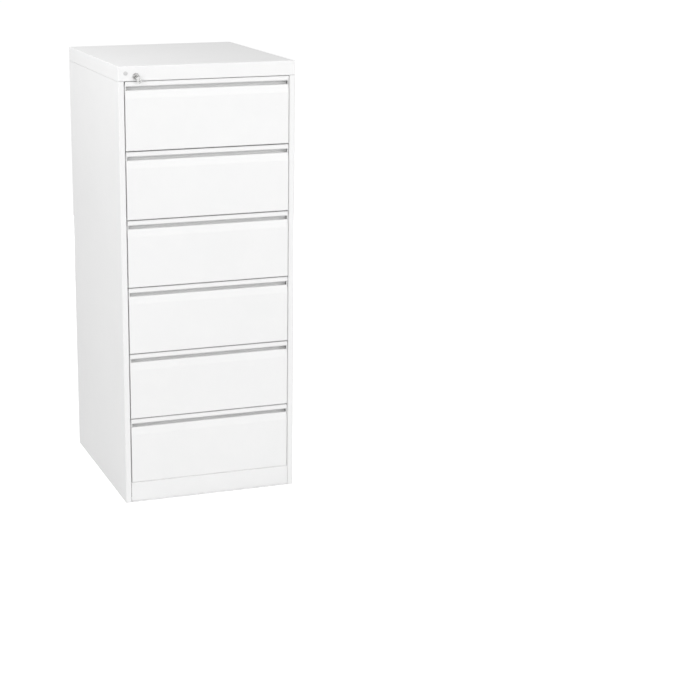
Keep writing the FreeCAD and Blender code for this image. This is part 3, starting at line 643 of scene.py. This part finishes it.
def fasteners():
    """Screws of the back, and on each drawer the tray's rivets and the slide members' screws."""
    tree, keys = heads_in_rows()
    right = (0, math.radians(90), 0)
    left = (0, math.radians(-90), 0)
    rearward = (math.radians(-90), 0, 0)

    low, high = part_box("panel_screws")
    head = cross_head(BACK_SCREW_R, 1.6, 1.0)
    reach_x = BACK_SCREW_R * MM
    reach_z = reach_x * HEX_FLAT
    step_z = (high[2] - low[2] - 2 * reach_z) / (BACK_SCREW_ROWS - 1)
    first = (low[0] + reach_x, BACK_PLANE * MM, low[2] + reach_z)
    step_x = high[0] - low[0] - 2 * reach_x
    data = grown(head, tree, keys, First=first, Columns=2, Column_Step=(step_x, 0, 0), Rows=BACK_SCREW_ROWS,
                 Row_Step=(0, 0, step_z), Aim=rearward, Seed=3, Finish=ZINC)
    screws = finished("back_panel_screws", data, "cabinet", ZINC)
    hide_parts("panel_screws")
    head.free()

    rivet = rivet_head(3.6, 1.1)
    screw = cross_head(4.2, 2.2, 1.3)
    for number in DRAWERS:
        middle = front_bottom(number) + SLIDE_MID_H
        low_row = middle - RIVET_STEP_Z / 2
        sides = []
        for sign, aim in ((1, left), (-1, right)):
            first = (sign * (TRAY_SIDE - TRAY_SHEET) * MM, RIVET_FIRST_Y * MM, low_row * MM)
            sides.append(grown(rivet, tree, keys, First=first, Columns=RIVETS,
                               Column_Step=(0, RIVET_STEP_Y * MM, 0), Rows=2,
                               Row_Step=(0, 0, RIVET_STEP_Z * MM), Aim=aim, Seed=number, Finish=RIVET))
        title = "drawer_%d_tray_rivets" % number
        finished(title, merged(title, sides), "drawer_%d" % number, RIVET)
        sides = []
        for sign, aim in ((1, right), (-1, left)):
            first = (sign * INNER_WEB * MM, SLIDE_SCREW_FIRST_Y * MM, middle * MM)
            sides.append(grown(screw, tree, keys, First=first, Columns=SLIDE_SCREWS,
                               Column_Step=(0, SLIDE_SCREW_STEP * MM, 0), Rows=1, Aim=aim, Seed=20 + number,
                               Finish=ZINC))
        title = "drawer_%d_slide_screws" % number
        finished(title, merged(title, sides), "drawer_%d" % number, ZINC)
    rivet.free()
    screw.free()


def foot_threads():
    """Threads on the studs of the four feet."""
    tree, keys = threads()
    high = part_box("levelling_feet")[1]
    reach_x = high[0] - FOOT_R * MM
    reach_y = high[1] - FOOT_R * MM * HEX_FLAT
    start = 0.0075
    bm = bmesh.new()
    for x in (-reach_x, reach_x):
        for y in (-reach_y, reach_y):
            bm.verts.new((x, y, start))
    data = grown(bm, tree, keys, Radius=0.0039, Pitch=0.00125, Turns=27.0, Depth=0.0006, Finish=ZINC_UP)
    bm.free()
    finished("foot_threads", data, "cabinet", ZINC_UP)


# Black moulded parts of the slides, trays and followers.

def on_slide(along, up=0.0):
    """Turns places on the drawer's slide member, measured from here, into places on the drawer."""
    def place(a, b, depth):
        return Vector((depth, along + a, SLIDE_MID_H + up + b))
    return place


def slide_buffer(bm):
    """Moulded buffer in the front end of the drawer's slide member: a block with a hollow and a nose."""
    middle = SLIDE_FRONT + 7.5
    low = INNER_WEB + 0.1
    outer = [(-6.5, -15.5), (6.5, -15.5), (6.5, -9.5), (-1.0, -7.5), (-1.0, 7.5), (6.5, 9.5), (6.5, 15.5),
             (-6.5, 15.5)]
    cut_plate(bm, outer, low, CHANNEL_MOUTH - 1.6, on_slide(middle), 0.8)
    cut_plate(bm, rounded_box(4.6, 12.0, 1.4), low, INNER_WEB + 4.2, on_slide(middle + 1.5), 0.5)
    mirrored_too(bm)


def release_lever(bm):
    """Bowed lever in the drawer's slide member, pressed to lift the drawer off its slides."""
    back_end = -62.0
    length = 58.0
    steps = 12
    blade = []
    under = []
    for step in range(steps + 1):
        along = back_end + length * step / steps
        bow = 5.0 * math.sin(math.pi * step / steps)
        blade.append((along, -3.5 + bow))
        under.append((along, -7.5 + bow))
    cut_plate(bm, blade + under[::-1], INNER_WEB + 1.6, INNER_WEB + 4.6, on_slide(0.0), 0.5)
    pivot = [(0, 0), (5.6, 0), (5.6, 4.6), (4.9, 5.3), (2.4, 5.3), (2.2, 4.4), (0, 4.4)]
    turned(bm, pivot, (INNER_WEB + 0.1, -2.5, SLIDE_MID_H - 5.5), (1, 0, 0), 20)
    thumb = rounded_box(13.0, 7.0, 1.6)
    cut_plate(bm, thumb, INNER_WEB + 1.2, INNER_WEB + 6.6, on_slide(back_end, -5.0), 0.6)
    mirrored_too(bm)


def divider_hook(bm):
    """Hook on the tray's partition: a stem with a curled end."""
    stem = [(-4.9, 131.0), (3.4, 131.0), (3.6, 134.0), (4.9, 136.4), (4.7, 141.2), (3.4, 142.2), (2.6, 140.8),
            (2.0, 138.6), (0.4, 138.2), (-0.9, 139.6), (-1.3, 142.0), (-1.3, 158.6), (-2.2, 161.2),
            (-4.1, 161.2), (-4.9, 159.0)]
    cut_plate(bm, stem, -96.0, -87.0, across_y, 0.5)


def follower_lever(sign):
    """Lever that clamps a follower to the tray's rib, behind its plate. sign is the side of its row."""
    middle = sign * ROW_MIDDLE

    def build(bm):
        lever = [(222.0, 28.1), (252.0, 28.1), (252.0, 33.5), (244.5, 36.5), (248.8, 57.0), (252.6, 61.5),
                 (252.0, 66.0), (248.0, 67.8), (244.4, 65.5), (238.0, 37.0), (222.0, 33.5)]
        cut_plate(bm, lever, middle - 9.0, middle + 9.0, across_x, 1.0)
        cheek = [(224.0, 24.2), (250.0, 24.2), (250.0, 30.5), (246.0, 32.6), (228.0, 32.6), (224.0, 30.5)]
        for edge in (-12.0, 7.6):
            cut_plate(bm, cheek, middle + edge, middle + edge + 4.4, across_x, 0.7)
        grip = [(250.6, 58.0), (253.6, 61.8), (253.0, 65.4), (250.0, 64.0)]
        for along in (-5.4, 0.0, 5.4):
            cut_plate(bm, grip, middle + along - 1.0, middle + along + 1.0, across_x, 0.3)
    return build


# White parts that close the ends of the pulls and the edges of the plinth.

def pull_ends(bm):
    """Two welded tabs that close the ends of a front's pull, flush with its face."""
    side = [(-308.6, 171.5), (-309.9, 187.4), (-306.4, 187.4), (-305.0, 171.5)]
    cut_plate(bm, side, FRONT_HALF - 3.0, FRONT_HALF - 0.1, across_x, 0.35)
    mirrored_too(bm)


def seam_fillers():
    """White filler in the joint between each post and the lid."""
    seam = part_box("top_cap")[0][2] / MM
    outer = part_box("right_side_panel")[1][0] / MM
    bm = bmesh.new()
    inner_x, outer_x = outer - 17.3, outer - 1.2
    low, high = seam - 0.9, seam + 0.4
    joint = [(inner_x, low), (outer_x, low), (outer_x, high), (inner_x, high)]
    cut_plate(bm, joint, POST_PLANE - 0.06, POST_PLANE + 1.1, across_y, 0.04)
    mirrored_too(bm)
    finished("seam_fillers", mesh_of("seam_fillers", bm), "cabinet", STRIP)


def plinth_strips():
    """Soft strips on the plinth's top, under the lowest front, and along its bottom edge."""
    low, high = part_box("kick_plate")
    top = high[2] / MM
    bottom = low[2] / MM
    half = high[0] / MM - 1.0
    bm = bmesh.new()
    upper = [(-308.6, top - 0.3), (-308.4, top + 0.9), (-307.4, top + 1.2), (-303.4, top + 1.2),
             (-302.6, top - 0.3)]
    cut_plate(bm, upper, -half, half, across_x, 0.2)
    lower = [(-309.6, 0.3), (-309.5, bottom + 0.5), (-306.0, bottom + 0.5), (-305.4, 0.3)]
    cut_plate(bm, lower, -half, half, across_x, 0.25)
    finished("plinth_strips", mesh_of("plinth_strips", bm), "cabinet", STRIP)


# Small parts of the lock and of the spare hole beside it.

def lock_parts():
    """Rings round the lock's face, and a dark plate on the plug round the key's blade: painted shadow of the
    keyway, turning with the plug.
    """
    x, z = LOCK_AT
    bm = bmesh.new()
    rim = [(6.35, 0.3), (6.35, -0.25), (6.7, -0.45), (7.3, -0.45), (7.7, -0.15), (7.9, 0.3)]
    ring(bm, rim, (x, LOCK_FACE, z), 48)
    collar = [(8.6, 0.3), (8.6, -0.12), (9.0, -0.3), (9.5, -0.22), (9.75, 0.3)]
    ring(bm, collar, (x, LOCK_FACE, z), 56)
    finished("lock_rings", mesh_of("lock_rings", bm), "cabinet", NICKEL)

    bm = bmesh.new()
    along = Vector((math.cos(KEY_ANGLE), 0, math.sin(KEY_ANGLE)))
    across = along.cross(Vector((0, 1, 0)))

    def beside_key(a, b, depth):
        return Vector((x, depth, z)) + across * a + along * b

    # Painted shadow: a thin dark plate round the key's blade stands for the shade down in the keyway.
    cut_plate(bm, rounded_box(8.2, 4.0, 0.8), LOCK_FACE - 0.12, LOCK_FACE + 0.4, beside_key, 0.08)
    finished("keyway_painted_shadow", mesh_of("keyway_painted_shadow", bm), "lock_plug", KEYWAY_SHADOW)


def spare_hole_cover():
    """Rim and dimple of the plug in the spare hole."""
    x, z = SPARE_AT
    bm = bmesh.new()
    ring(bm, [(4.9, 0.2), (4.9, -0.1), (5.2, -0.25), (5.6, -0.2), (5.85, 0.2)], (x, SPARE_FACE, z), 40)
    dimple = [(0, 0.2), (1.6, 0.2), (1.5, -0.12), (1.1, -0.22), (0, -0.24)]
    turned(bm, dimple, (x, SPARE_FACE, z), (0, 1, 0))
    finished("spare_hole_cover", mesh_of("spare_hole_cover", bm), "cabinet", SPARE)


# Camera, floor and light.

def camera():
    """Camera to the left of the front, looking down a little."""
    down = 15.4
    aside = -18.7
    data = bpy.data.cameras.new("camera")
    data.lens = 89.3
    data.shift_x = 0.143
    data.clip_start = 0.1
    data.clip_end = 60
    made = bpy.data.objects.new("camera", data)
    made.location = (-1.509, -5.147, 1.856)
    made.rotation_euler = (math.radians(90 - down), 0, math.radians(aside))
    SCENE.collection.objects.link(made)
    SCENE.camera = made


def floor():
    """Plain pale floor, a little brighter where the camera sees it than in its light on the part."""
    data = bpy.data.meshes.new("floor")
    data.from_pydata([(-30, -12, 0), (30, -12, 0), (30, 60, 0), (-30, 60, 0)], [], [(0, 1, 2, 3)])
    plane = bpy.data.objects.new("floor", data)
    SCENE.collection.objects.link(plane)
    paint = bpy.data.materials.new("pale_floor")
    paint.use_nodes = True
    tree = paint.node_tree
    shader = tree.nodes["Principled BSDF"]
    where = tree.nodes.new("ShaderNodeTexCoord").outputs["Object"]
    tone = span(tree, noise(tree, where, 1.6, 2.0), 0.3, 0.7, 0.71, 0.73)
    colour = tree.nodes.new("ShaderNodeCombineColor")
    seen = tree.nodes.new("ShaderNodeLightPath").outputs["Is Camera Ray"]
    join(tree, (tone, colour.inputs[0]), (tone, colour.inputs[1]), (tone, colour.inputs[2]),
         (colour.outputs[0], shader.inputs["Base Color"]),
         (math_node(tree, "MULTIPLY", seen, 0.56), shader.inputs["Emission Strength"]))
    shader.inputs["Roughness"].default_value = 0.9
    shader.inputs["Emission Color"].default_value = (1, 1, 1, 1)
    data.materials.append(paint)


def area_light(name, place, aim, size, power):
    """Rectangular light at a place, turned to its aim. Its power is in watts."""
    data = bpy.data.lights.new(name, "AREA")
    data.shape = "RECTANGLE"
    data.size, data.size_y = size
    data.energy = power
    made = bpy.data.objects.new(name, data)
    made.location = place
    made.rotation_euler = (Vector(aim) - Vector(place)).to_track_quat("-Z", "Y").to_euler()
    SCENE.collection.objects.link(made)


def light():
    """White world, dimmed for all but the camera, and four soft lights."""
    world = bpy.data.worlds.new("studio")
    world.use_nodes = True
    SCENE.world = world
    tree = world.node_tree
    dim = tree.nodes["Background"]
    dim.inputs["Color"].default_value = (1, 1, 1, 1)
    dim.inputs["Strength"].default_value = 0.64
    bright = add(tree, "ShaderNodeBackground", Color=(1, 1, 1, 1), Strength=1.0)
    path = tree.nodes.new("ShaderNodeLightPath")
    mix = tree.nodes.new("ShaderNodeMixShader")
    join(tree, (path.outputs["Is Camera Ray"], mix.inputs[0]), (dim.outputs[0], mix.inputs[1]),
         (bright.outputs[0], mix.inputs[2]), (mix.outputs[0], tree.nodes["World Output"].inputs["Surface"]))
    area_light("key", (2.6, -4.6, 2.4), (0.1, -0.3, 0.7), (3.4, 2.6), 86)
    area_light("fill", (-3.6, -4.0, 2.2), (0.0, 0.0, 0.6), (3.0, 2.6), 70)
    area_light("side", (-1.6, -0.2, 2.6), (-0.27, 0.0, 1.3), (0.9, 0.6), 18)
    area_light("behind", (0.9, 4.2, 0.62), (0.1, 0.3, 0.6), (1.2, 0.9), 40)
    SCENE.view_settings.view_transform = "Standard"
    SCENE.view_settings.look = "None"


camera()
light()
floor()
finish_nodes()
fasteners()
foot_threads()
on_each_drawer("slide_buffers", slide_buffer, LATCH)
on_each_drawer("release_levers", release_lever, LATCH)
on_each_drawer("divider_hook", divider_hook, LATCH)
on_each_drawer("left_follower_lever", follower_lever(-1), LATCH,
               "drawer_%d_left_follower_body")
on_each_drawer("right_follower_lever", follower_lever(1), LATCH,
               "drawer_%d_right_follower_body")
on_each_drawer("pull_ends", pull_ends, WHITE)
plinth_strips()
seam_fillers()
lock_parts()
spare_hole_cover()
